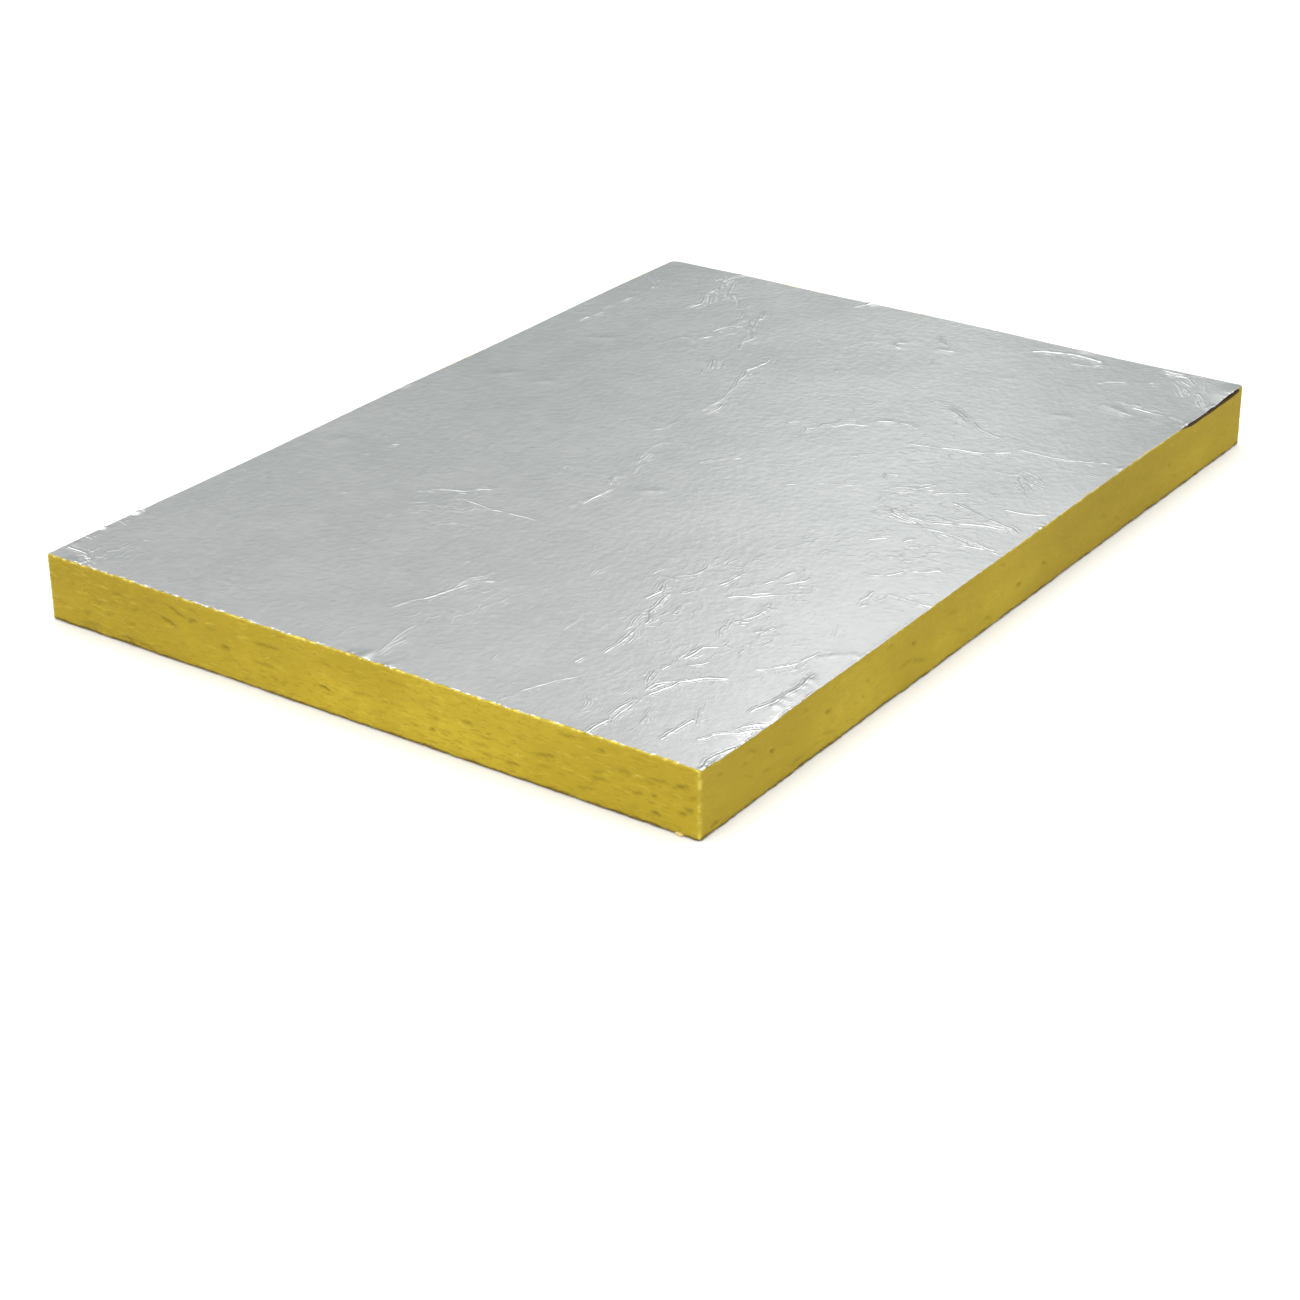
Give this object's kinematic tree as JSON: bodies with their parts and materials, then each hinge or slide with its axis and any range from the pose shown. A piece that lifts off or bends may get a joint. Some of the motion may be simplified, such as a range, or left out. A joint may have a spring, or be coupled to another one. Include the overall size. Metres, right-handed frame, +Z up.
{
  "type": "foil-faced glass wool slab",
  "caption": "Rigid rectangular slab of yellow glass wool with a crinkled aluminium foil facing bonded to one broad face, for thermal and acoustic insulation.",
  "frame": {"origin": "centre of the slab's underside, which it rests on", "axes": "+X along the length, +Y along the width, +Z up through the thickness towards the foil facing"},
  "size_m": [0.84, 0.6, 0.054],
  "materials": {
    "glass_wool": "matt bonded glass fibre, layered along the thickness, with short darker streaks on the cut sides",
    "aluminium_foil": "soft satin foil with fine creases and crinkles"
  },
  "bodies": {
    "root": {"wool_slab": "glass_wool", "foil_facing": "aluminium_foil"}
  },
  "joints": []
}
